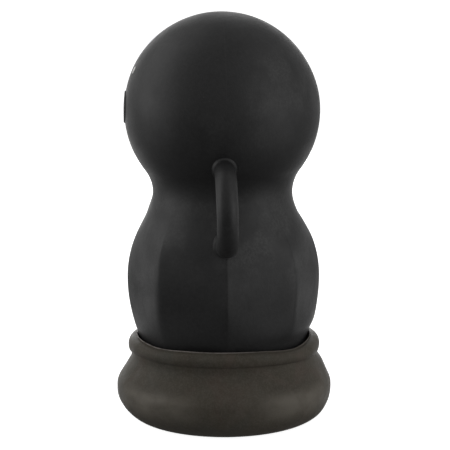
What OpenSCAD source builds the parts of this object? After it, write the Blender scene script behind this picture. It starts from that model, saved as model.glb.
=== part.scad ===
// Free-standing vinyl art figure: a ball head and an eight-panelled torso cast in one black skin,
// a looped arm on each side, and a squat rolled-rim pot in which the whole figure turns.
// The origin is the centre of the pot's underside. +Z is up, the face looks along -Y,
// and the figure's left arm is on +X.

/* [Head and neck] */
// Radius of the ball head
head_r = 47.4; // [46.5:0.1:48.5]
// Height of the head's centre above the table
head_z = 152.6; // [151.5:0.1:153.5]
// Radius of the hollow curve between head and shoulders
neck_curve = 19.6; // [18.5:0.1:21]
// Wall of the hollow casting
wall = 3.4; // [3:0.1:4]

/* [Torso] */
// Radius of the torso at its widest, over the panel edges
belly_r = 46.9; // [46:0.1:47.5]
// Height of the widest ring of the torso
belly_z = 70.6; // [69:0.1:72]
// Radius of the shoulder curve in side view
shoulder_curve = 53.7; // [52:0.1:56]
// Radius of the curve from the belly down into the pot
hip_curve = 80; // [76:1:84]
// Height of the torso's flat underside
torso_z = 24; // [23.8:0.1:24.4]
// Number of flat panels round the torso
panels = 8; // [8:2:12]
// Height at which the panels are fully flat
panel_full_z = 77; // [74:1:84]
// Height at which the panels have faded into the round shoulder
panel_fade_z = 102; // [98:1:105]
// Half width left rounded at each panel edge, as a share of the radius
panel_edge = 0.93; // [0.926:0.001:0.94]

/* [Arms] */
// Radius of the arm's round section
arm_r = 5.1; // [4.8:0.1:5.3]
// Radius of the loop's centreline
arm_bend = 17.4; // [17:0.1:18]
// Distance from the figure's axis at which the loop leaves its two straight ends
arm_root = 46; // [45.4:0.1:47]
// Height of the middle of the loop
arm_z = 111.7; // [111:0.1:112.4]
// Shift of the loops towards the face
arm_shift = 0.4; // [0:0.1:1]
// Lean of the loops, upper end towards the face
arm_lean = 1.2; // [0:0.1:2]
// Distance from the axis to the floor of each arm socket
socket_floor = 36.9; // [36.4:0.1:37.2]
// Distance from the axis to the inner end of each socket's boss
boss_end = 33.5; // [33:0.1:34]
// Radius of the spigot that passes through the boss
spigot_r = 3.4; // [3:0.1:3.8]

/* [Face] */
// Radius of the round face disc
disc_r = 7.8; // [7:0.1:9]
// Height angle of the disc's centre above the head's equator
disc_lift = 2.4; // [0:0.1:6]
// Depth of the disc's recess
disc_depth = 1.6; // [1.2:0.1:2]
// How far the middle of the disc stands proud
disc_proud = 0.3; // [0.2:0.05:0.6]
// Radius of each painted eye pad
eye_r = 1.8; // [1.4:0.1:2.6]
// Height angle of the eyes
eye_lift = 25.4; // [20:0.1:30]
// Angle of each eye from the middle plane
eye_turn = 9.5; // [8:0.1:14]

/* [Pot] */
// Radius of the flat ring the pot stands on
foot_r = 35.3; // [34:0.1:38]
// Radius of the pot at its widest
pot_r = 53; // [51.5:0.1:54]
// Height of the widest ring of the pot
pot_z = 16.6; // [15.5:0.1:18]
// Radius of the waist under the rolled rim
waist_r = 45.7; // [45.3:0.1:46.3]
// Height of the waist under the rolled rim
waist_z = 33.8; // [33:0.1:34.5]
// Largest radius of the rolled rim
rim_r = 47; // [46.6:0.1:47.6]
// Height of the rolled rim's widest ring
rim_z = 37.7; // [37.2:0.1:38.2]
// Height of the rim's crest
rim_top = 42.3; // [42:0.1:42.8]
// Radius of the mouth that the torso stands in
mouth_r = 42.4; // [42.3:0.1:42.7]

/* [Swivel] */
// Height of the upper face of the pot's deck
deck_z = 23.7; // [23.6:0.05:23.75]
// Thickness of the deck
deck_t = 3; // [2.6:0.1:3.2]
// Radius of the hole in the deck
deck_hole_r = 14; // [13:0.1:15]
// Gap round the plug's neck in the deck hole
swivel_gap = 0.05; // [0.02:0.01:0.08]
// Radius of the plug where it fills the torso's casting hole
plug_r = 18; // [17:0.1:19]
// Radius of the plug's flange inside the torso
flange_r = 22; // [21:0.1:23]
// Outer radius of the retaining clip
clip_r = 19; // [18:0.1:20]
// Radius of the round plate that closes the pot
plate_r = 31; // [30:0.1:32]

/* [Hidden] */
$fn = 128;

black_vinyl = [0.10, 0.10, 0.105];
arm_black = [0.12, 0.12, 0.12];
disc_black = [0.15, 0.15, 0.15];
pot_brown = [0.27, 0.25, 0.22];
plug_black = [0.08, 0.08, 0.08];
plate_brown = [0.20, 0.19, 0.17];
eye_white = [0.92, 0.92, 0.90];

// The neck curve touches the head's circle and the shoulder's circle.
head_c = [0, head_z];
shoulder_c = [belly_r - shoulder_curve, belly_z];
span = norm(shoulder_c - head_c);
down = (shoulder_c - head_c) / span;
reach_h = head_r + neck_curve;
reach_s = shoulder_curve + neck_curve;
along = (reach_h * reach_h - reach_s * reach_s + span * span) / (2 * span);
aside = sqrt(reach_h * reach_h - along * along);
neck_c = head_c + along * down + aside * [-down[1], down[0]];
neck_top = head_c + head_r * (neck_c - head_c) / reach_h;
neck_low = shoulder_c + shoulder_curve * (neck_c - shoulder_c) / reach_s;

// Radius of the round skin below the head at a height z.
function skin_r(z) =
    z >= neck_low[1] ? neck_c[0] - sqrt(neck_curve * neck_curve - pow(z - neck_c[1], 2)) :
    z >= belly_z ? shoulder_c[0] + sqrt(shoulder_curve * shoulder_curve - pow(z - belly_z, 2)) :
    belly_r - hip_curve + sqrt(hip_curve * hip_curve - pow(z - belly_z, 2));

// Distance of the flat panels from the axis at a height z.
function panel_r(z) = skin_r(z) *
    (1 - (1 - panel_edge) * max(0, min(1, (panel_fade_z - z) / (panel_fade_z - panel_full_z))));

function steps(a, b, n) = [for (i = [0:n]) a + (b - a) * i / n];

// Half outline of neck and torso from height z0 up into the head. A wall t above 0
// draws the hollow instead, whose round side stays t clear of the flat panels.
module trunk_outline(t, z0, n) {
    zs = concat(steps(z0, belly_z, n), steps(belly_z + 4, neck_low[1], n),
                steps(neck_low[1] + 2, neck_top[1] - 0.8, 2 * n));
    up = neck_top[1] + 3;
    inner = sqrt(pow(head_r - t, 2) - pow(up - head_z, 2)) - 0.3;
    polygon(concat([[0, z0]], [for (z = zs) [t > 0 ? panel_r(z) - t : skin_r(z), z]], [[inner, up], [0, up]]));
}

module half_circle(r) {
    intersection() {
        circle(r);
        translate([0, -r - 1]) square([r + 1, 2 * r + 2]);
    }
}

module round_skin(t, z0, n) {
    rotate_extrude() union() {
        translate([0, head_z]) half_circle(head_r - t);
        trunk_outline(t, z0, n);
    }
}

// A slab across the figure, as wide as one opposite pair of panels is apart.
module panel_slab() {
    zs = concat(steps(torso_z - 2, panel_full_z, 8),
                steps(panel_full_z + 5, panel_fade_z, 3));
    right = concat([for (z = zs) [panel_r(z), z]], [[70, panel_fade_z + 4], [70, 215]]);
    left = [for (i = [len(right) - 1:-1:0]) [-right[i][0], right[i][1]]];
    rotate([90, 0, 0]) linear_extrude(height = 150, center = true)
        polygon(concat(right, left));
}

module outer_skin() {
    intersection() {
        round_skin(0, torso_z, 7);
        intersection_for (k = [0:panels / 2 - 1])
            rotate([0, 0, (k + 0.5) * 360 / panels]) panel_slab();
    }
}

// Local frame at the outer end of an arm's straight stretch: +Z runs into the body.
module at_arm_end(top) {
    translate([0, 0, arm_z]) rotate([arm_lean, 0, 0])
        translate([arm_root, -arm_shift, top ? arm_bend : -arm_bend])
            rotate([0, -90, 0]) children();
}

module both_sides() {
    children();
    mirror([1, 0, 0]) children();
}

module on_head(lift, turn) {
    translate([0, 0, head_z]) rotate([0, 0, turn]) rotate([90 - lift, 0, 0]) children();
}

module figure_body() {
    color(black_vinyl) difference() {
        outer_skin();
        // hollow, with a thicker boss left round each arm socket
        difference() {
            round_skin(wall, torso_z + 3, 6);
            both_sides() for (top = [true, false])
                at_arm_end(top) cylinder(r = 8, h = arm_root - boss_end);
        }
        both_sides() for (top = [true, false]) at_arm_end(top) {
            translate([0, 0, 0.2]) cylinder(r = arm_r + 0.03, h = arm_root - socket_floor - 0.2);
            translate([0, 0, 5]) cylinder(r = spigot_r + 0.03, h = 12);
        }
        on_head(disc_lift, 0) translate([0, 0, head_r - disc_depth])
            cylinder(r = disc_r + 0.03, h = 5);
        for (side = [-1, 1]) on_head(eye_lift, side * eye_turn)
            translate([0, 0, head_r - 1.2]) cylinder(r = eye_r + 0.02, h = 4);
        translate([0, 0, torso_z - 1]) cylinder(r = plug_r, h = 6);
    }
}

// A half-ring loop on two straight ends, each with a spigot and a holding lip.
module arm() {
    socket = arm_root - socket_floor;
    boss = arm_root - boss_end;
    translate([0, 0, arm_z]) rotate([arm_lean, 0, 0]) translate([arm_root, -arm_shift, 0])
        rotate([90, 0, 0]) rotate([0, 0, -90])
            rotate_extrude(angle = 180) translate([arm_bend, 0]) circle(arm_r);
    for (top = [true, false]) at_arm_end(top) {
        cylinder(r = arm_r, h = socket);
        translate([0, 0, socket - 1]) cylinder(r = spigot_r, h = boss + 0.1 - socket + 1);
        translate([0, 0, boss + 0.1]) cylinder(r1 = spigot_r + 1.2, r2 = spigot_r, h = 1.8);
    }
}

module left_arm() { color(arm_black) arm(); }

module right_arm() { color(arm_black) mirror([1, 0, 0]) arm(); }

module face_disc() {
    color(disc_black) on_head(disc_lift, 0) intersection() {
        translate([0, 0, head_r - disc_depth]) cylinder(r = disc_r, h = 4);
        translate([0, 0, head_r + disc_proud - 90]) sphere(90);
    }
}

module eye(side) {
    color(eye_white) on_head(eye_lift, side * eye_turn)
        translate([0, 0, head_r - 1.2]) cylinder(r = eye_r, h = 1.32);
}

module left_eye() { eye(1); }

module right_eye() { eye(-1); }

// Outline of the pot: rounded foot, wide belly, drawn-in waist and rolled rim.
foot_pts = [for (t = steps(0, 90, 11))
    [foot_r + (pot_r - foot_r) * pow(sin(t), 0.82), pot_z * (1 - pow(cos(t), 0.98))]];
flank_pts = [for (z = steps(pot_z + 1.8, waist_z - 0.6, 8))
    [waist_r + (pot_r - waist_r) * (0.5 + 0.5 * cos(180 * (z - pot_z) / (waist_z - pot_z))), z]];
rim_pts = [for (a = steps(-70, 84, 11))
    [rim_r - 4 + 4 * cos(a), rim_z + (a < 0 ? 3.9 : rim_top - rim_z) * sin(a)]];

module base_pot() {
    color(pot_brown) difference() {
        rotate_extrude() polygon(concat([[0, 0]], foot_pts, flank_pts, rim_pts,
                                        [[mouth_r, rim_top - 0.2], [0, rim_top - 0.2]]));
        // well that the torso stands in
        rotate_extrude() polygon([[0, deck_z], [46, deck_z], [46, 25.5], [43.4, 30],
                                  [mouth_r, 34], [mouth_r, 50], [0, 50]]);
        translate([0, 0, deck_z - deck_t - 1]) cylinder(r = deck_hole_r, h = deck_t + 2);
        // hollow under the deck
        rotate_extrude() polygon([[0, 3.5], [43.8, 3.5], [47.2, 7], [49, 12], [49.3, 17],
                                  [48.6, deck_z - deck_t], [0, deck_z - deck_t]]);
        translate([0, 0, -1]) cylinder(r = plate_r, h = 3);
        translate([0, 0, 1]) cylinder(r = plate_r - 3, h = 4);
    }
}

module swivel_plug() {
    neck_r = deck_hole_r - swivel_gap;
    color(plug_black) rotate_extrude() polygon([
        [0, 17], [neck_r - 1, 17], [neck_r, 18], [neck_r, 18.5], [12, 18.5], [12, 20.4],
        [neck_r, 20.4], [neck_r, deck_z + swivel_gap], [plug_r - 0.02, deck_z + swivel_gap],
        [plug_r - 0.02, torso_z + 3], [flange_r, torso_z + 3], [flange_r, torso_z + 4.6],
        [flange_r - 1, torso_z + 5.4], [0, torso_z + 5.4]]);
}

module retaining_clip() {
    color(plug_black) translate([0, 0, 18.55]) difference() {
        cylinder(r = clip_r, h = 1.8);
        translate([0, 0, -1]) cylinder(r = 12.03, h = 4);
        translate([0, -5, -1]) cube([clip_r + 5, 10, 4]);
    }
}

module base_plate() {
    color(plate_brown) translate([0, 0, 0.3]) difference() {
        cylinder(r = plate_r - 0.05, h = 1.7);
        // shallow ring moulded into the underside
        translate([0, 0, -1]) difference() {
            cylinder(r = 24, h = 1.5);
            translate([0, 0, -1]) cylinder(r = 21, h = 4);
        }
    }
}

figure_body();
left_arm();
right_arm();
face_disc();
left_eye();
right_eye();
base_pot();
swivel_plug();
retaining_clip();
base_plate();
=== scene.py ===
import math

import bmesh
import bpy
import numpy as np
from mathutils import Matrix, Vector, noise


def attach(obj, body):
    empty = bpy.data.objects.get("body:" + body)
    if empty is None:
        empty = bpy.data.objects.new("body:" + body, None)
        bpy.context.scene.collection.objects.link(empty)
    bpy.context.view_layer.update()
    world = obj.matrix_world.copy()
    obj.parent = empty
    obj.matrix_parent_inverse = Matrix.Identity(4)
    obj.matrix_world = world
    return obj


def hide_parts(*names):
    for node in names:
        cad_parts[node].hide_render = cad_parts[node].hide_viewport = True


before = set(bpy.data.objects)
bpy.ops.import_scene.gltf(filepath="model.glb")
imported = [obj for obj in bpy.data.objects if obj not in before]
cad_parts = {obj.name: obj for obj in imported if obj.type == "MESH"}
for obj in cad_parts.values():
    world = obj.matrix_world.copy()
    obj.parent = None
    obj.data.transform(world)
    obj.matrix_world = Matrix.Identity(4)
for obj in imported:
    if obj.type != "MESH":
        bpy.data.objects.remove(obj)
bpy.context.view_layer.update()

MM = 0.001

# ---------------------------------------------------------------- design sizes, as in the CAD part
HEAD_R, HEAD_Z, NECK, WALL = 47.4, 152.6, 19.6, 3.4
BELLY_R, BELLY_Z, SHOULDER, HIP, TORSO_Z = 46.9, 70.6, 53.7, 80.0, 24.0
ARM_R, ARM_BEND, ARM_ROOT, ARM_Z, ARM_SHIFT, ARM_LEAN, SOCKET = 5.1, 17.4, 46.0, 111.7, 0.4, 1.2, 36.9
DISC_R, DISC_LIFT, DISC_DEPTH = 7.8, 2.4, 1.6
EYE_R, EYE_LIFT, EYE_TURN = 1.8, 25.4, 9.5
FOOT_R, POT_R, POT_Z, WAIST_R, WAIST_Z = 35.3, 53.0, 16.6, 45.7, 33.8
RIM_R, RIM_Z, RIM_TOP, MOUTH_R = 47.0, 37.7, 42.3, 42.4
DECK_Z, DECK_T, DECK_HOLE, PLATE_R, PLUG_R = 23.7, 3.0, 14.0, 31.0, 18.0


def circles_meet(c0, r0, c1, r1):
    d = math.hypot(c1[0] - c0[0], c1[1] - c0[1])
    u = ((c1[0] - c0[0]) / d, (c1[1] - c0[1]) / d)
    a = (r0 * r0 - r1 * r1 + d * d) / (2 * d)
    h = math.sqrt(r0 * r0 - a * a)
    return (c0[0] + a * u[0] - h * u[1], c0[1] + a * u[1] + h * u[0])


SH_C = (BELLY_R - SHOULDER, BELLY_Z)
NK_C = circles_meet((0, HEAD_Z), HEAD_R + NECK, SH_C, SHOULDER + NECK)
T_HEAD = HEAD_Z + HEAD_R * (NK_C[1] - HEAD_Z) / (HEAD_R + NECK)
T_SHO = BELLY_Z + SHOULDER * (NK_C[1] - BELLY_Z) / (SHOULDER + NECK)


def smooth(a, b, x):
    t = np.clip((np.asarray(x, float) - a) / (b - a), 0, 1)
    return t * t * (3 - 2 * t)


def skin_r(z):
    z = np.asarray(z, float)
    head = np.sqrt(np.maximum(HEAD_R ** 2 - (z - HEAD_Z) ** 2, 0))
    neck = NK_C[0] - np.sqrt(np.maximum(NECK ** 2 - (z - NK_C[1]) ** 2, 0))
    sho = SH_C[0] + np.sqrt(np.maximum(SHOULDER ** 2 - (z - BELLY_Z) ** 2, 0))
    hip = BELLY_R - HIP + np.sqrt(np.maximum(HIP ** 2 - (z - BELLY_Z) ** 2, 0))
    return np.where(z >= T_HEAD, head, np.where(z >= T_SHO, neck, np.where(z >= BELLY_Z, sho, hip)))


def panel_share(z):
    """How far the eight panels are developed at a height: 0 round, 1 flat."""
    cut = np.maximum(1 - smooth(79, 97, z), 0) ** 0.7
    return (0.40 * cut + 0.60 * (1 - smooth(75, 110, z))) * (1 - 0.60 * (1 - smooth(42, 64, z))) * smooth(37.5, 42.5, z)


EDGE = math.radians(0.28)


def edge_soft(phi, z):
    """Rounding of the nearest panel edge: fine, but rounder on the diagonals and low down."""
    diagonal = np.sin(2 * np.round(phi / (math.pi / 4)) * (math.pi / 4)) ** 2
    return EDGE + np.radians(1.7 * diagonal * (1 - smooth(76, 90, z)) + 0.5 * (1 - smooth(48, 64, z)))


def panel_factor(phi, z):
    """Radius of the octagon with softened edges over the round skin's radius."""
    half = math.pi / 8
    off = np.abs((phi + half) % (2 * half) - half)
    soft = edge_soft(phi, z)
    psi = half - np.sqrt(off ** 2 + soft ** 2) * half / np.hypot(half, soft)
    low = math.cos(half - EDGE) / np.cos(np.clip(psi, 0, half))
    turn = np.exp(-((np.arccos(np.minimum(np.abs(np.sin(phi)), 1)) / math.radians(11)) ** 2))
    return 1 - panel_share(z) * (1 - low) * (1 - 0.22 * smooth(56, 72, z) * turn)


def head_lean(z):
    """How far the top of the head sits forward, in mm."""
    return 0.35 * float(smooth(158, 182, z))


def skin_shift(phi, z):
    """Small unevenness of the moulded body in mm: fuller shoulders in front, a fuller belly behind."""
    s = np.sin(phi)
    w = math.exp(-((z - 105.7) / 5.0) ** 2)
    back = np.maximum(s, 0)
    belly = 0.35 * smooth(44, 50, z) * (1 - smooth(88, 98, z)) + 0.42 * math.exp(-((z - 50) / 7.0) ** 2) * smooth(43.5, 47.5, z)
    return w * (0.66 - 0.38 * s) + back * belly


def fbm(p, scale, octaves=3, seed=0.0):
    q = Vector((p[0] * scale + seed, p[1] * scale - seed * 0.7, p[2] * scale + seed * 1.3))
    return noise.fractal(q, 0.8, 2.1, octaves)


# ---------------------------------------------------------------- mesh helpers
def mesh_object(name, verts, faces, smooth_shade=True):
    me = bpy.data.meshes.new(name)
    me.from_pydata([tuple(float(c) * MM for c in v) for v in verts], [], faces)
    me.validate()
    ob = bpy.data.objects.new(name, me)
    bpy.context.scene.collection.objects.link(ob)
    bm = bmesh.new()
    bm.from_mesh(me)
    bmesh.ops.recalc_face_normals(bm, faces=bm.faces)
    bm.to_mesh(me)
    bm.free()
    if smooth_shade:
        for p in me.polygons:
            p.use_smooth = True
    return ob


def lathe(rings, start_pole=None, end_pole=None, closed=False):
    """Rings of points, each ring the same length, into one skin. Poles close the ends."""
    verts, faces = [], []
    n = len(rings[0])
    for r in rings:
        verts.extend(r)
    m = len(rings)
    for i in range(m if closed else m - 1):
        a, b = i * n, ((i + 1) % m) * n
        for j in range(n):
            k = (j + 1) % n
            faces.append((a + j, a + k, b + k, b + j))
    if start_pole is not None:
        verts.append(start_pole)
        c = len(verts) - 1
        faces += [(c, (j + 1) % n, j) for j in range(n)]
    if end_pole is not None:
        verts.append(end_pole)
        c = len(verts) - 1
        a = (m - 1) * n
        faces += [(c, a + j, a + (j + 1) % n) for j in range(n)]
    return verts, faces


def sharp_by_angle(ob, degrees):
    """Marks hard corners, so that broad smooth shading stops at them."""
    me = ob.data
    bm = bmesh.new()
    bm.from_mesh(me)
    lim = math.radians(degrees)
    for e in bm.edges:
        if len(e.link_faces) == 2 and e.calc_face_angle(0) > lim:
            e.smooth = False
    bm.to_mesh(me)
    bm.free()


# ---------------------------------------------------------------- materials
class Mat:
    """A small builder for procedural Principled materials in object space."""

    def __init__(self, name):
        self.m = bpy.data.materials.new(name)
        self.m.use_nodes = True
        self.t = self.m.node_tree
        self.p = next(n for n in self.t.nodes if n.type == "BSDF_PRINCIPLED")
        self.co = self.t.nodes.new("ShaderNodeTexCoord").outputs["Object"]

    def node(self, kind, **values):
        n = self.t.nodes.new(kind)
        for k, v in values.items():
            setattr(n, k, v)
        return n

    def link(self, a, b):
        self.t.links.new(a, b)

    def noise(self, scale, detail=3.0, rough=0.55, vector=None, distortion=0.0):
        n = self.node("ShaderNodeTexNoise")
        n.inputs["Scale"].default_value = scale
        n.inputs["Detail"].default_value = detail
        n.inputs["Roughness"].default_value = rough
        n.inputs["Distortion"].default_value = distortion
        self.link(vector or self.co, n.inputs["Vector"])
        return n.outputs["Fac"]

    def voronoi(self, scale, feature="F1", out="Distance", randomness=1.0):
        n = self.node("ShaderNodeTexVoronoi", feature=feature)
        n.inputs["Scale"].default_value = scale
        n.inputs["Randomness"].default_value = randomness
        self.link(self.co, n.inputs["Vector"])
        return n.outputs[out]

    def ramp(self, fac, stops):
        n = self.node("ShaderNodeValToRGB")
        el = n.color_ramp.elements
        while len(el) < len(stops):
            el.new(0.5)
        for e, (pos, col) in zip(el, stops):
            e.position = pos
            e.color = (*col, 1) if len(col) == 3 else col
        self.link(fac, n.inputs["Fac"])
        return n.outputs["Color"]

    def band(self, fac, lo, hi, a=0.0, b=1.0):
        n = self.node("ShaderNodeMapRange", interpolation_type="SMOOTHSTEP")
        for i, v in enumerate((lo, hi, a, b)):
            n.inputs[i + 1].default_value = v
        self.link(fac, n.inputs[0])
        return n.outputs[0]

    def math(self, op, a, b=None, c=None):
        n = self.node("ShaderNodeMath", operation=op)
        for i, v in enumerate((a, b, c)):
            if v is None:
                continue
            if isinstance(v, (int, float)):
                n.inputs[i].default_value = v
            else:
                self.link(v, n.inputs[i])
        return n.outputs[0]

    def mix(self, fac, a, b, blend="MIX"):
        n = self.node("ShaderNodeMix", data_type="RGBA", blend_type=blend)
        if isinstance(fac, (int, float)):
            n.inputs[0].default_value = fac
        else:
            self.link(fac, n.inputs[0])
        for i, v in ((6, a), (7, b)):
            if isinstance(v, tuple):
                n.inputs[i].default_value = (*v, 1)
            else:
                self.link(v, n.inputs[i])
        return n.outputs[2]

    def turned(self, angles, scale):
        n = self.node("ShaderNodeMapping")
        n.inputs["Rotation"].default_value = angles
        n.inputs["Scale"].default_value = scale
        self.link(self.co, n.inputs["Vector"])
        return n.outputs["Vector"]

    def xyz(self):
        n = self.node("ShaderNodeSeparateXYZ")
        self.link(self.co, n.inputs[0])
        return n.outputs

    def bump(self, height, strength, distance, chain=None):
        n = self.node("ShaderNodeBump")
        n.inputs["Strength"].default_value = strength
        n.inputs["Distance"].default_value = distance
        self.link(height, n.inputs["Height"])
        if chain is not None:
            self.link(chain, n.inputs["Normal"])
        return n.outputs["Normal"]

    def finish(self, color=None, rough=None, normal=None, **constants):
        if color is not None:
            self.link(color, self.p.inputs["Base Color"])
        if rough is not None:
            self.link(rough, self.p.inputs["Roughness"])
        if normal is not None:
            self.link(normal, self.p.inputs["Normal"])
        for k, v in constants.items():
            self.p.inputs[k.replace("_", " ")].default_value = v
        return self.m


BLACK_LO, BLACK_HI = (0.0105, 0.0105, 0.0108), (0.0175, 0.0175, 0.0178)
BLACK_ROUGH = (0.44, 0.54)


def vinyl_black(name, seam=False, lo=BLACK_LO, hi=BLACK_HI, rough=BLACK_ROUGH, scuffs=1.0):
    """Satin black vinyl: cloudy tone, fine grain, rubbed cloudy patches, dust flecks and a mould seam."""
    m = Mat(name)
    x, y, z = m.xyz()
    cloud = m.noise(26, 4, 0.6)
    grain = m.noise(1350, 2, 0.5)
    mottle = m.noise(560, 3, 0.6)
    patch = m.noise(60, 3, 0.6, distortion=0.6)
    col = m.ramp(cloud, [(0.3, lo), (0.72, hi)])
    col = m.mix(m.band(grain, 0.38, 0.72, 0.0, 0.34), col, tuple(c * 1.75 for c in hi))
    col = m.mix(m.band(mottle, 0.36, 0.70, 0.0, 0.32), col, tuple(c * 1.7 for c in hi))
    # pale rubbed clouds, most of them on the shoulders and further down behind
    where = m.math("MULTIPLY", m.band(z, 0.054, 0.086), m.band(y, -0.014, 0.006))
    where = m.math("MAXIMUM", where, m.band(z, 0.068, 0.096, 0.0, 0.60))
    where = m.math("MULTIPLY", where, m.band(z, 0.122, 0.108))
    head = m.math("MULTIPLY", m.math("MULTIPLY", m.band(z, 0.148, 0.162), m.band(z, 0.190, 0.174)), m.band(y, 0.004, 0.016))
    where = m.math("MAXIMUM", where, m.math("MULTIPLY", head, 0.8))
    where = m.math("MAXIMUM", where, m.band(m.noise(17, 2, 0.5), 0.56, 0.66, 0, 0.35))
    rub = m.math("MULTIPLY", m.band(m.noise(58, 3, 0.55), 0.38, 0.64), m.band(m.noise(760, 4, 0.72), 0.38, 0.64, 0.42, 1))
    rub = m.math("MULTIPLY", rub, where)
    col = m.mix(m.math("MULTIPLY", rub, scuffs), col, (0.060, 0.060, 0.0595))
    fleck = m.voronoi(210)
    pick = m.noise(38, 1, 0.5)
    dust = m.math("MULTIPLY", m.band(fleck, 0.10, 0.045, 0, 1), m.band(pick, 0.58, 0.66, 0, 1))
    col = m.mix(m.math("MULTIPLY", dust, 0.40), col, (0.060, 0.058, 0.055))
    r = m.band(patch, 0.3, 0.7, rough[0], rough[1])
    r = m.math("ADD", r, m.math("MULTIPLY", m.band(grain, 0.3, 0.7, -0.5, 0.5), 0.08))
    r = m.math("ADD", r, m.math("MULTIPLY", rub, 0.06))
    h = m.math("ADD", m.math("MULTIPLY", grain, 0.5), m.math("MULTIPLY", mottle, 0.5))
    nrm = m.bump(h, 0.30, 0.00024)
    nrm = m.bump(m.noise(70, 2, 0.5), 0.25, 0.0006, nrm)
    if seam:
        wob = m.math("MULTIPLY", m.math("SUBTRACT", m.noise(40, 1, 0.5), 0.5), 0.0006)
        line = m.band(m.math("ABSOLUTE", m.math("ADD", y, wob)), 0.00045, 0.00010, 0, 1)
        line = m.math("MULTIPLY", line, m.band(z, 0.150, 0.166, 0, 1))
        line = m.math("MULTIPLY", line, m.band(m.noise(160, 2, 0.5), 0.32, 0.55, 0.25, 1))
        col = m.mix(m.math("MULTIPLY", line, 0.13), col, (0.05, 0.05, 0.05))
        nrm = m.bump(line, 0.20, 0.00008, nrm)
    return m.finish(col, r, nrm, Specular_IOR_Level=0.5, IOR=1.5)


def vinyl_brown(name, lip=False):
    """Matt brown-grey vinyl with a hand-modelled surface: blotched tone, soft dents, fine grain."""
    m = Mat(name)
    x, y, z = m.xyz()
    cloud = m.noise(34, 4, 0.6, distortion=0.5)
    blot = m.noise(110, 3, 0.6)
    tint = m.noise(48, 3, 0.55, distortion=0.8)
    grain = m.noise(1300, 2, 0.5)
    mottle = m.noise(430, 3, 0.62)
    col = m.ramp(cloud, [(0.28, (0.0749, 0.0657, 0.0508)), (0.5, (0.0856, 0.0760, 0.0590)), (0.74, (0.0962, 0.0849, 0.0679))])
    # greener and redder blotches
    col = m.mix(m.band(tint, 0.50, 0.66, 0.0, 0.55), col, (0.0777, 0.0770, 0.0642))
    col = m.mix(m.band(tint, 0.46, 0.34, 0.0, 0.45), col, (0.1025, 0.0770, 0.0627))
    col = m.mix(m.band(blot, 0.38, 0.68, 0.0, 0.35), col, (0.0626, 0.0558, 0.0459))
    col = m.mix(m.band(mottle, 0.40, 0.70, 0.0, 0.30), col, (0.1251, 0.1114, 0.0948))
    col = m.mix(m.band(grain, 0.40, 0.72, 0.0, 0.26), col, (0.1502, 0.1352, 0.1194))
    r = m.band(cloud, 0.3, 0.7, 0.54, 0.44)
    r = m.math("ADD", r, m.math("MULTIPLY", m.band(mottle, 0.35, 0.7, -0.5, 0.5), 0.08))
    if lip:
        # painted highlight: paler colour low on the bulge at its four quarters; the same patches are also made a little
        # smoother, as from polish
        sq = m.math("ADD", m.math("MULTIPLY", x, x), m.math("MULTIPLY", y, y))
        quarter = m.math("DIVIDE", m.math("ABSOLUTE", m.math("MULTIPLY", m.math("MULTIPLY", x, y), 2.0)), m.math("MAXIMUM", sq, 0.0001))
        polish_and_painted_highlight = m.math("MULTIPLY", m.band(quarter, 0.40, 0.98), m.math("MULTIPLY", m.band(z, 0.006, 0.015), m.band(z, 0.0245, 0.0185)))
        polish_and_painted_highlight = m.math("MULTIPLY", polish_and_painted_highlight, m.band(m.noise(75, 3, 0.6), 0.25, 0.55, 0.45, 1.0))
        # the pale colour of these patches is a painted highlight
        col = m.mix(m.math("MULTIPLY", polish_and_painted_highlight, 0.95), col, (0.1700, 0.1545, 0.1291))
        r = m.math("SUBTRACT", r, m.math("MULTIPLY", polish_and_painted_highlight, 0.12))
        # painted highlight: a thin pale line along the wall's edge inside the rim, stronger towards the front
        rad = m.math("SQRT", sq)
        edge = m.math("MULTIPLY", m.band(rad, 0.04290, 0.04282), m.band(z, 0.0390, 0.0396))
        edge = m.math("MULTIPLY", edge, m.band(m.noise(220, 3, 0.6), 0.30, 0.55, 0.30, 1.0))
        edge = m.math("MULTIPLY", edge, m.band(y, 0.024, -0.006, 0.25, 1.0))
        col = m.mix(m.math("MULTIPLY", edge, 0.80), col, (0.3005, 0.2722, 0.2525))
    h = m.math("ADD", m.math("MULTIPLY", grain, 0.4), m.math("MULTIPLY", m.noise(330, 3, 0.6), 0.6))
    nrm = m.bump(h, 0.35, 0.00032)
    # slanting wipe marks from modelling by hand
    wipe = m.noise(90, 3, 0.6, vector=m.turned((0.5300, 0.5375, 0.3345), (1.0, 1.0, 2.6)), distortion=0.5)
    nrm = m.bump(m.band(wipe, 0.30, 0.70), 0.22, 0.0004, nrm)
    nrm = m.bump(m.noise(55, 2, 0.5), 0.5, 0.0011, nrm)
    pit = m.math("MULTIPLY", m.band(m.voronoi(75), 0.13, 0.03, 0, 1), m.band(m.noise(24, 1, 0.5), 0.55, 0.62, 0, 1))
    nrm = m.bump(m.math("SUBTRACT", 1.0, pit), 0.5, 0.0004, nrm)
    return m.finish(col, r, nrm, Specular_IOR_Level=0.10, IOR=1.5)


def paint_white(name):
    m = Mat(name)
    col = m.ramp(m.noise(600, 3, 0.6), [(0.3, (0.66, 0.65, 0.62)), (0.7, (0.82, 0.81, 0.78))])
    r = m.band(m.noise(900, 2, 0.5), 0.3, 0.7, 0.42, 0.58)
    return m.finish(col, r, m.bump(m.noise(1800, 2, 0.5), 0.25, 0.0001), Specular_IOR_Level=0.45)


def nylon(name, tone=0.014):
    m = Mat(name)
    ring = m.noise(900, 2, 0.5)
    col = m.ramp(m.noise(90, 3, 0.6), [(0.3, (tone * 0.8,) * 3), (0.7, (tone * 1.5,) * 3)])
    r = m.band(m.noise(200, 3, 0.6), 0.3, 0.7, 0.32, 0.5)
    return m.finish(col, r, m.bump(ring, 0.2, 0.0001), Specular_IOR_Level=0.5)


def put(ob, mat):
    ob.data.materials.clear()
    ob.data.materials.append(mat)


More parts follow.
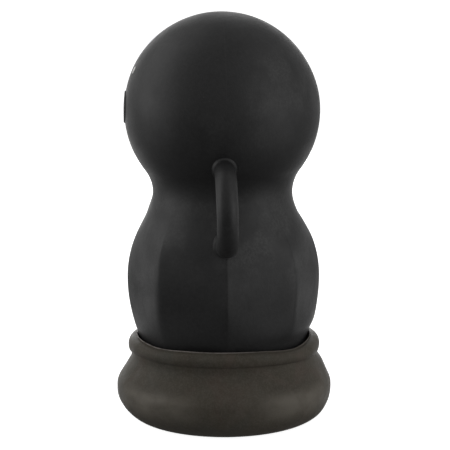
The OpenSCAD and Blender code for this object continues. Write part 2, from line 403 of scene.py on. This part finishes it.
mat_body = vinyl_black("black_vinyl_body", seam=True)
mat_arm = vinyl_black("black_vinyl_arm")
mat_disc = vinyl_black("black_vinyl_disc", lo=(0.030, 0.030, 0.030), hi=(0.041, 0.041, 0.041), rough=(0.5, 0.6))
mat_pot = vinyl_brown("brown_vinyl_pot", lip=True)
mat_plate = vinyl_brown("brown_vinyl_plate")
mat_eye = paint_white("white_eye_paint")
mat_nylon = nylon("black_nylon")

# ---------------------------------------------------------------- figure body
HALF = 18
STEPS = [22.5 * (k / HALF) ** 1.8 for k in range(HALF + 1)]
# round the body, finer near the panels' eight edges
PHI = np.radians([45 * e + a for e in range(8) for a in STEPS[:-1] + [45 - t for t in STEPS[:0:-1]]])
SEG = len(PHI)


def body_rings():
    rings = []
    for t in np.linspace(1.2, 126.9, 92):
        a = math.radians(t)
        z = HEAD_Z + HEAD_R * math.cos(a)
        if z < T_HEAD:
            break
        rings.append((HEAD_R * math.sin(a), z))
    zs = list(np.linspace(T_HEAD - 0.4, T_SHO, 34)) + list(np.linspace(T_SHO - 0.8, 44, 66)) + list(np.linspace(43, TORSO_Z + 1.2, 14))
    rings += [(float(skin_r(z)), z) for z in zs]
    r0 = float(skin_r(TORSO_Z))
    for a in (20, 45, 70, 90):
        rings.append((r0 - 1.2 + 1.2 * math.cos(math.radians(a)) + 0.25, TORSO_Z + 1.2 - 1.2 * math.sin(math.radians(a))))
    outer = []
    for r, z in rings:
        f = r * panel_factor(PHI, z) + skin_shift(PHI, z)
        lean = head_lean(z)
        outer.append(np.stack([f * np.cos(PHI), f * np.sin(PHI) - lean, np.full(SEG, z)], 1))
    inner = []
    hole = [(26, TORSO_Z), (PLUG_R + 0.5, TORSO_Z), (PLUG_R + 0.01, TORSO_Z + 0.5), (PLUG_R + 0.01, TORSO_Z + 2.5), (PLUG_R + 0.01, TORSO_Z + 3), (27, TORSO_Z + 3)]
    zs = list(np.linspace(TORSO_Z + 4, 118, 34))
    hole += [(float(skin_r(z)) * (1 - 0.07 * float(panel_share(z))) - WALL, z) for z in zs]
    ri = HEAD_R - WALL
    for t in np.linspace(128, 2, 40):
        a = math.radians(t)
        z = HEAD_Z + ri * math.cos(a)
        if z > 119.5:
            hole.append((ri * math.sin(a), z))
    for r, z in hole:
        inner.append(np.stack([r * np.cos(PHI), r * np.sin(PHI), np.full(SEG, z)], 1))
    return outer + inner


rings = body_rings()
v, f = lathe(rings, start_pole=(0, 0, HEAD_Z + HEAD_R), end_pole=(0, 0, HEAD_Z + HEAD_R - WALL))
body = mesh_object("figure_skin", v, f)
sharp_by_angle(body, 55)
put(body, mat_body)
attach(body, "figure")
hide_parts("figure_body")


def gap_to_skin(p):
    """Rough distance in mm from a point to the figure's outer skin, positive outside."""
    r = math.hypot(p[0], p[1])
    if p[2] >= T_HEAD:
        return math.hypot(r, p[2] - HEAD_Z) - HEAD_R
    rs = float(skin_r(p[2])) * float(panel_factor(np.array([math.atan2(p[1], p[0])]), p[2])[0])
    slope = (float(skin_r(p[2] + 0.5)) - float(skin_r(p[2] - 0.5)))
    return (r - rs) / math.sqrt(1 + slope * slope)


# ---------------------------------------------------------------- arms
def arm_mesh(name, side):
    lean = math.radians(ARM_LEAN)
    path = []
    for x in np.linspace(SOCKET + 0.3, ARM_ROOT, 34)[:-1]:
        path.append(((x, ARM_BEND), (-1, 0)))
    for t in np.linspace(90, -90, 73):
        a = math.radians(t)
        path.append(((ARM_ROOT + ARM_BEND * math.cos(a), ARM_BEND * math.sin(a)), (-math.sin(a), math.cos(a))))
    for x in np.linspace(ARM_ROOT, SOCKET + 0.3, 34)[1:]:
        path.append(((x, -ARM_BEND), (1, 0)))
    n = 56
    rings = []
    for (x, z), d in path:
        nx, nz = d[1], -d[0]
        ring = []
        for k in range(n):
            b = 2 * math.pi * k / n
            cb, sb = math.cos(b), math.sin(b)
            direction = (nx * cb, sb, nz * cb)

            sag = 0.55 * float(smooth(2, 16, -z))

            def place(rad):
                px, py, pz = x + direction[0] * rad, direction[1] * rad, z + direction[2] * rad - sag
                y2 = py * math.cos(lean) - pz * math.sin(lean)
                z2 = py * math.sin(lean) + pz * math.cos(lean)
                return (px, y2 - ARM_SHIFT, z2 + ARM_Z)

            p = place(ARM_R)
            g = gap_to_skin(p)
            if z > 0:
                # the upper end: a fine raised collar, a little prouder on top
                top = max(0.0, direction[2])
                flare = (0.80 + 0.70 * top ** 1.2) * math.exp(-((max(g, 0) / 0.70) ** 1.6))
                flare += 0.20 * math.exp(-((g - 0.30) / 0.30) ** 2)
                flare -= 0.16 * math.exp(-((g - 1.30) / 0.40) ** 2)
            else:
                # the lower end: a soft swelling, fuller below and towards the face
                front = max(0.0, -sb)
                under = max(0.0, -direction[2])
                flare = 0.25 + 1.25 * front ** 0.8 + 0.55 * under * front ** 0.8 + 0.30 * under ** 2
                flare *= math.exp(-((max(g, 0) / (1.2 + 1.5 * front)) ** 1.3))
            if x < ARM_ROOT - 5.5 and g < -1.2:
                flare = 0.0
            elif g < 0:
                flare *= max(0.0, 1 + g / 1.6)
            w = 0.05 * noise.noise(Vector((p[0] * 0.12 + side * 7, p[1] * 0.12, p[2] * 0.12)))
            q = place(ARM_R - 0.06 + flare + w)
            ring.append((q[0] * side, q[1], q[2]))
        rings.append(ring)
    e0 = np.mean(np.array(rings[0]), 0)
    e1 = np.mean(np.array(rings[-1]), 0)
    v, f = lathe(rings, start_pole=tuple(e0), end_pole=tuple(e1))
    ob = mesh_object(name, v, f)
    sharp_by_angle(ob, 60)
    put(ob, mat_arm)
    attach(ob, "figure")
    return ob


arm_l = arm_mesh("left_arm_loop", 1)
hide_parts("left_arm")
arm_r = arm_mesh("right_arm_loop", -1)
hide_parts("right_arm")


# ---------------------------------------------------------------- face
def on_head(lift, turn):
    return Matrix.Translation((0, 0, HEAD_Z)) @ Matrix.Rotation(math.radians(turn), 4, "Z") @ Matrix.Rotation(math.radians(90 - lift), 4, "X")


def button(name, profile, lift, turn, mat, replaced, n=96, wobble=0.0):
    """A round plate on the head. The profile runs from its middle out over the front and round to the back."""
    m = on_head(lift, turn)
    m = Matrix.Translation((0, -head_lean((m @ Vector((0, 0, HEAD_R))).z), 0)) @ m
    rings = []
    for r, h in profile[1:-1]:
        ring = []
        for k in range(n):
            b = 2 * math.pi * k / n
            rr = r * (1 + wobble * noise.noise(Vector((math.cos(b) * 1.3 + turn, math.sin(b) * 1.3, 4.2))))
            p = m @ Vector((rr * math.cos(b), rr * math.sin(b), h))
            ring.append(tuple(p))
        rings.append(ring)
    v, f = lathe(rings, start_pole=tuple(m @ Vector((0, 0, profile[0][1]))), end_pole=tuple(m @ Vector((0, 0, profile[-1][1]))))
    ob = mesh_object(name, v, f)
    sharp_by_angle(ob, 50)
    put(ob, mat)
    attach(ob, "figure")
    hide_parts(replaced)
    return ob


def dome(r, top, ball):
    return top - (ball - math.sqrt(ball * ball - r * r))


disc_prof = [(0, HEAD_R + 0.3)]
for r in (1, 2, 3, 4, 5, 6, 6.6):
    disc_prof.append((r, dome(r, HEAD_R + 0.3, 90)))
h_edge = dome(7.3, HEAD_R + 0.3, 90)
for a in (90, 66, 42, 20, 0):
    c = math.radians(a)
    disc_prof.append((DISC_R - 0.5 + 0.5 * math.cos(c), h_edge - 0.5 + 0.5 * math.sin(c)))
disc_prof += [(DISC_R, HEAD_R - DISC_DEPTH + 0.02), (DISC_R - 0.1, HEAD_R - DISC_DEPTH), (0, HEAD_R - DISC_DEPTH)]
button("face_plate", disc_prof, DISC_LIFT, 0, mat_disc, "face_disc")

eye_prof = [(0, HEAD_R + 0.12), (0.8, HEAD_R + 0.105), (1.4, HEAD_R + 0.07), (1.68, HEAD_R + 0.03), (1.78, HEAD_R - 0.02), (EYE_R, HEAD_R - 0.1), (EYE_R, HEAD_R - 1.1), (EYE_R - 0.1, HEAD_R - 1.2), (0, HEAD_R - 1.2)]
button("left_eye_paint", eye_prof, EYE_LIFT, EYE_TURN, mat_eye, "left_eye", n=64, wobble=0.03)
button("right_eye_paint", eye_prof, EYE_LIFT, -EYE_TURN, mat_eye, "right_eye", n=64, wobble=0.03)

# ---------------------------------------------------------------- pot
PSEG = 288
PPHI = np.linspace(0, 2 * math.pi, PSEG, endpoint=False)


CREASE = 34.0


def pot_profile():
    """Outer skin from the inner edge of the standing ring, up over the rim and down into the well, then the hollow."""
    pts = []
    for t in np.linspace(0, 90, 48):
        a = math.radians(t)
        pts.append((FOOT_R + (POT_R - FOOT_R) * math.sin(a) ** 0.82, POT_Z * (1 - math.cos(a) ** 0.98), "out"))
    for z in np.linspace(POT_Z + 0.45, WAIST_Z - 0.2, 44):
        pts.append((WAIST_R + (POT_R - WAIST_R) * (0.5 + 0.5 * math.cos(math.pi * (z - POT_Z) / (WAIST_Z - POT_Z))), z, "out"))
    # from the waist up to the crease, then the rolled bead, given by the angle round its middle
    for k, d in ((0.2, 0.02), (0.4, 0.04), (0.58, 0.02), (0.74, -0.04), (0.87, -0.14), (0.96, -0.32)):
        pts.append((WAIST_R - d, k, "neck"))
    for a in np.linspace(-CREASE, 104, 46):
        pts.append((3.72, a, "bead"))
    # the wall's own thin edge inside the bead, with a fine groove between
    for r, z in ((42.98, -0.30), (42.92, -0.34), (42.87, -0.24), (42.82, 0.10), (42.76, 0.30), (42.67, 0.38), (42.57, 0.38), (42.49, 0.28), (42.43, 0.05), (42.40, -0.5)):
        pts.append((r, z, "lip"))
    for r, z in ((42.4, 39.6), (42.4, 38), (42.4, 34.2), (43.4, 30), (45.2, 26.9), (46, 25.5), (46, 24.2), (45.6, DECK_Z), (30, DECK_Z), (DECK_HOLE + 0.4, DECK_Z), (DECK_HOLE, DECK_Z - 0.3), (DECK_HOLE, DECK_Z - DECK_T + 0.3), (DECK_HOLE + 0.3, DECK_Z - DECK_T), (30, DECK_Z - DECK_T), (48.2, DECK_Z - DECK_T), (48.7, DECK_Z - DECK_T - 0.8), (49.3, 17), (49, 12), (47.2, 7), (44.4, 4), (43.8, 3.5), (PLATE_R - 2.7, 3.5), (PLATE_R - 3, 3.2), (PLATE_R - 3, 2.3), (PLATE_R - 3, 2.0), (PLATE_R - 0.2, 2.0), (PLATE_R, 1.8), (PLATE_R, 0.25), (PLATE_R + 0.25, 0.0)):
        pts.append((r, z, "in"))
    return pts


def turn_to(phi, degrees):
    """Angle in degrees from a bearing, between -180 and 180."""
    return (math.degrees(phi) - degrees + 180) % 360 - 180


def hump(phi, degrees, width):
    return math.exp(-(turn_to(phi, degrees) / width) ** 2)


def rim_height(phi):
    """The rim rides up at both sides and sags between, by a millimetre or two."""
    z = 41.9 + 0.30 * hump(phi, -92, 20) + 0.15 * hump(phi, 95, 20)
    z -= 0.70 * hump(phi, -48, 15) + 2.0 * hump(phi, 50, 22)
    z -= 1.1 * hump(phi, 132, 18) + 0.9 * hump(phi, -133, 17)
    return z


def crease_height(phi):
    z = 35.6 - 1.1 * hump(phi, -93, 16) + 0.8 * hump(phi, -66, 14) + 0.25 * hump(phi, -15, 18)
    return z - 1.4 * hump(phi, 60, 24) - 0.9 * hump(phi, 92, 20) + 0.3 * hump(phi, 170, 25) - 0.6 * hump(phi, -130, 25)


# soft dents and swellings left by hand: bearing, height, reach round, reach up, depth in mm
MARKS = (
    (-49, 20.0, 13.0, 2.8, -0.95), (-54, 14.0, 12.0, 5.0, -0.55), (-45, 27.0, 5.5, 3.0, 0.30), (-66, 26.5, 3.6, 3.6, -0.42), (-30, 25.5, 2.2, 4.5, -0.20),
    (46, 19.6, 12.0, 2.8, -0.80), (62, 13.5, 11.0, 5.0, -0.40), (40, 27.2, 6.5, 3.2, 0.30), (72, 26.0, 4.4, 4.0, -0.38),
    (-8, 26.0, 6.0, 3.0, -0.32), (10, 11.0, 7.0, 3.0, -0.20), (-20, 13.5, 6.0, 2.4, -0.18), (24, 16.0, 4.0, 3.4, -0.16),
    (128, 21.0, 12.0, 3.0, -0.50), (150, 9.0, 10.0, 3.0, -0.30), (178, 24.0, 7.0, 3.2, -0.38), (-160, 10.0, 10.0, 3.0, -0.30),
    (-135, 22.0, 11.0, 3.0, -0.50), (-108, 25.0, 5.0, 3.4, -0.30), (104, 13.0, 8.0, 3.0, -0.20),
)


def uneven(phi, z, r, kind):
    c, s = math.cos(phi), math.sin(phi)
    p = (r * c * 0.02, r * s * 0.02, z * 0.035)
    lump = noise.noise(Vector((p[0] * 2.2 + 3.1, p[1] * 2.2, p[2] * 2.2))) * 0.26
    lump += noise.noise(Vector((p[0] * 5.5, p[1] * 5.5 + 9.4, p[2] * 5.5))) * 0.15
    lump += noise.noise(Vector((p[0] * 13, p[1] * 13 + 2.2, p[2] * 13))) * 0.06
    for deg, dz, wide, tall, depth in MARKS:
        along = math.radians(turn_to(phi, deg)) * r
        if abs(along) < 3 * wide:
            lump += depth * math.exp(-(along / wide) ** 2 - ((z - dz) / tall) ** 2)
    # the waist is shallower behind
    lump += 1.42 * math.exp(-((z - 28.8) / 4.8) ** 2) * max(s, 0) ** 1.2 - 0.38 * math.exp(-((z - 31.8) / 2.6) ** 2)
    return lump


def within(r, limit, soft=0.10):
    """Eases a radius in under a limit."""
    d = limit - r
    return limit - (d + math.sqrt(d * d + 4 * soft * soft)) / 2


def pot_point(r, z, kind, phi):
    c, s = math.cos(phi), math.sin(phi)
    if kind == "neck":
        z = WAIST_Z + (crease_height(phi) - WAIST_Z) * z if crease_height(phi) > WAIST_Z + 0.3 else WAIST_Z + 0.3 * z
        r += uneven(phi, z, r, kind) - 0.05
    elif kind == "out":
        live = float(smooth(1.5, 8, z))
        # the foot is drawn in a little in front and stands out a little behind
        foot = (-1.25 * max(-s, 0) + 0.45 * max(s, 0)) * (1 - float(smooth(3, 13, z)))
        r = within(r + foot + live * (uneven(phi, z, r, kind) - 0.12), POT_R - 0.03)
    elif kind == "bead":
        a = math.radians(z)
        top, low = rim_height(phi), max(crease_height(phi), WAIST_Z + 0.3)
        # middle of the bead, so that its lowest shown point falls on the crease
        k = math.sin(math.radians(CREASE))
        mid = low + (top - low) * 0.40
        z = mid + (top - mid) * math.sin(a) if a >= 0 else mid + (mid - low) / k * math.sin(a)
        fat = 0.10 * noise.noise(Vector((c * 2.2, s * 2.2, 5.1))) + 0.30 * max(s, 0) ** 2
        r = RIM_R - 0.12 - 3.72 + r * math.cos(a) + fat * max(0.0, math.cos(a))
    elif kind == "lip":
        z = rim_height(phi) + z + 0.05 * noise.noise(Vector((c * 9, s * 9, 2.3)))
    return (r * c, r * s, z)


prof = pot_profile()
rings = [[pot_point(r, z, kind, phi) for phi in PPHI] for r, z, kind in prof]
v, f = lathe(rings, closed=True)
pot = mesh_object("pot_shell", v, f)
sharp_by_angle(pot, 50)
put(pot, mat_pot)
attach(pot, "pot")
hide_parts("base_pot")

for node, mat in (("base_plate", mat_plate), ("swivel_plug", mat_nylon), ("retaining_clip", mat_nylon)):
    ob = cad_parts[node]
    put(ob, mat)

# ---------------------------------------------------------------- floor
FLOOR_GLOW = 0.93
fm = Mat("pale_floor")
fcol = fm.ramp(fm.noise(3, 2, 0.5), [(0.3, (0.86, 0.86, 0.86)), (0.7, (0.88, 0.88, 0.88))])
floor_mat = fm.finish(fcol, None, None, Roughness=0.9, Specular_IOR_Level=0.2, Emission_Color=(1, 1, 1, 1), Emission_Strength=FLOOR_GLOW)
bm = bmesh.new()
bmesh.ops.create_circle(bm, cap_ends=True, segments=96, radius=6.0)
me = bpy.data.meshes.new("floor")
bm.to_mesh(me)
bm.free()
floor = bpy.data.objects.new("floor", me)
bpy.context.scene.collection.objects.link(floor)
put(floor, floor_mat)
# the floor's own brightness is kept off the object; the studio light below stands for its bounce
floor.visible_diffuse = False
floor.visible_glossy = False
floor.visible_shadow = False

# ---------------------------------------------------------------- camera
scene = bpy.context.scene
AZ, EL, DIST, ROLL = math.radians(87.6), math.radians(10.0), 0.9768, math.radians(0.34)
back = Vector((math.sin(AZ) * math.cos(EL), -math.cos(AZ) * math.cos(EL), math.sin(EL)))
right = Vector((math.cos(AZ), math.sin(AZ), 0))
target = Vector((0, 0, 0.0960)) + right * 0.00103
cam_data = bpy.data.cameras.new("camera")
cam = bpy.data.objects.new("camera", cam_data)
scene.collection.objects.link(cam)
cam.location = target + back * DIST
up = back.cross(right)
rot = Matrix((right, up, back)).transposed().to_4x4()
cam.matrix_world = Matrix.Translation(cam.location) @ rot @ Matrix.Rotation(-ROLL, 4, "Z")
cam_data.sensor_width = 36
cam_data.lens = 36 * 2000 / 450
cam_data.clip_start = 0.01
cam_data.dof.use_dof = False
scene.camera = cam

# ---------------------------------------------------------------- light
FILL_LOW, FILL_HIGH = 0.122, 0.317
LIGHTS = [
    # name, azimuth, elevation, distance, disk size, watts
    ("front_soft", 0, 18, 0.9, 0.8, 1.225),
    ("front_low", 0, -8, 0.9, 0.8, 0.66),
    ("front_high", -30, 45, 0.9, 0.8, 0.852),
    ("front_wrap_low", -60, -8, 0.9, 0.8, 0.864),
    ("rear_near_low", 150, -8, 0.9, 0.8, 0.849),
    ("rear_near", 150, 18, 0.9, 0.8, 0.554),
    ("rear_near_high", 150, 45, 0.9, 0.8, 0.425),
    ("rear_low", 180, -8, 0.9, 0.8, 0.337),
    ("rear_wrap_low", 240, -8, 0.9, 0.8, 0.46),
    ("rear_wrap_high", 240, 45, 0.9, 0.8, 0.178),
    ("rear_wrap_floor", 240, -28, 0.9, 0.6, 0.177),
    ("far_side_soft", 270, 12, 0.9, 0.8, 1.80),
    ("far_side_low", 268, -12, 0.9, 0.8, 1.30),
]


def area(name, az, el, dist, size, power):
    a, e = math.radians(az), math.radians(el)
    pos = Vector((math.sin(a) * math.cos(e), -math.cos(a) * math.cos(e), math.sin(e))) * dist + Vector((0, 0, 0.1))
    data = bpy.data.lights.new(name, "AREA")
    data.shape = "DISK"
    data.size = size
    data.energy = power
    ob = bpy.data.objects.new(name, data)
    scene.collection.objects.link(ob)
    ob.location = pos
    ob.rotation_euler = (Vector((0, 0, 0.1)) - pos).to_track_quat("-Z", "Y").to_euler()
    ob.visible_camera = False
    return ob


lights = [area(*row) for row in LIGHTS]

world = bpy.data.worlds.new("studio")
scene.world = world
world.use_nodes = True
wt = world.node_tree
wt.nodes.clear()
out = wt.nodes.new("ShaderNodeOutputWorld")
mixs = wt.nodes.new("ShaderNodeMixShader")
lp = wt.nodes.new("ShaderNodeLightPath")
bg_cam = wt.nodes.new("ShaderNodeBackground")
bg_cam.inputs[0].default_value = (1, 1, 1, 1)
bg_cam.inputs[1].default_value = 1.0
bg_lit = wt.nodes.new("ShaderNodeBackground")
bg_lit.name = "studio_fill"
bg_lit.inputs[1].default_value = 1.0
wco = wt.nodes.new("ShaderNodeTexCoord")
wxyz = wt.nodes.new("ShaderNodeSeparateXYZ")
wramp = wt.nodes.new("ShaderNodeValToRGB")
wramp.name = "studio_ramp"
wmap = wt.nodes.new("ShaderNodeMapRange")
wmap.inputs[1].default_value = -1
wmap.inputs[2].default_value = 1
wt.links.new(wco.outputs["Generated"], wxyz.inputs[0])
wt.links.new(wxyz.outputs[2], wmap.inputs[0])
wt.links.new(wmap.outputs[0], wramp.inputs[0])
wt.links.new(wramp.outputs[0], bg_lit.inputs[0])
el = wramp.color_ramp.elements
el[0].position, el[1].position = 0.47, 0.53
el[0].color = (*(FILL_LOW,) * 3, 1)
el[1].color = (*(FILL_HIGH,) * 3, 1)
wt.links.new(lp.outputs["Is Camera Ray"], mixs.inputs[0])
wt.links.new(bg_lit.outputs[0], mixs.inputs[1])
wt.links.new(bg_cam.outputs[0], mixs.inputs[2])
wt.links.new(mixs.outputs[0], out.inputs[0])

scene.view_settings.view_transform = "Standard"
scene.view_settings.look = "None"
scene.view_settings.exposure = 0.0
scene.view_settings.gamma = 1.0
